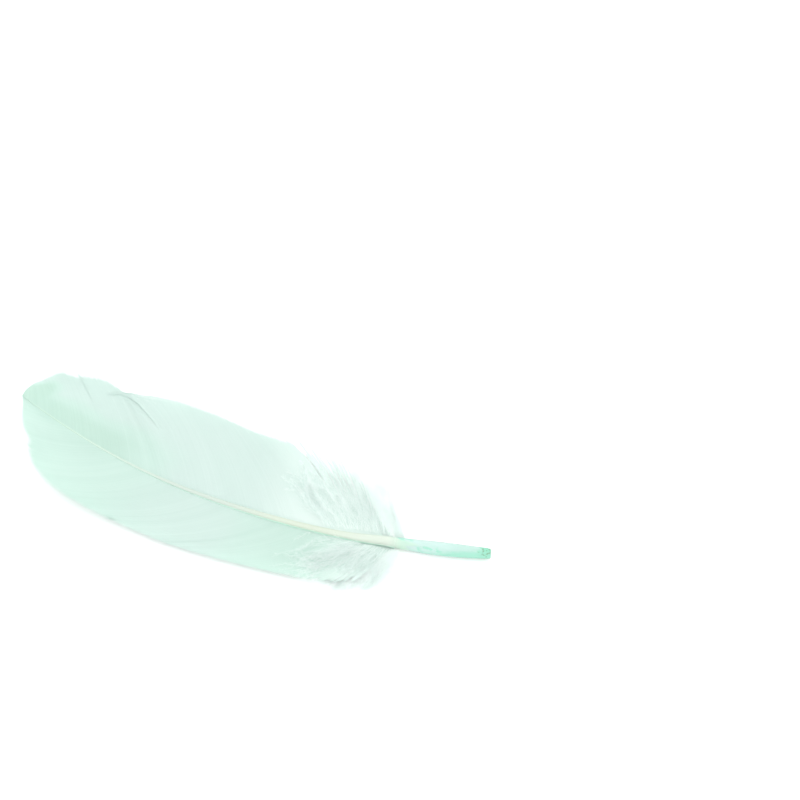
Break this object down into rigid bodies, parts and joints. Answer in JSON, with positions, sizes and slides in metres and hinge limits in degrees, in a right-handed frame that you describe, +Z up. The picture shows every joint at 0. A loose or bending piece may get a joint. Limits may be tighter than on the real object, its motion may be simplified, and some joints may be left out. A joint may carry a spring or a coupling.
{
  "type": "goose quill feather",
  "caption": "Dyed mint-green goose wing feather with a cream shaft, a clear bare quill, smooth uneven vanes with small splits and a downy foot, lying hollow side up.",
  "frame": {"origin": "on the surface that the feather lies on, under the middle of its box", "axes": "+X from the feather's tip to the quill's cut end, +Y towards the broad trailing vane, +Z up, out of the feather's hollow side"},
  "size_m": [0.1541, 0.0469, 0.0111],
  "materials": {
    "plumage": "matte",
    "shaft": "satin",
    "quill": "satin",
    "down": "matte"
  },
  "bodies": {
    "root": {"feather": "plumage"}
  },
  "joints": []
}
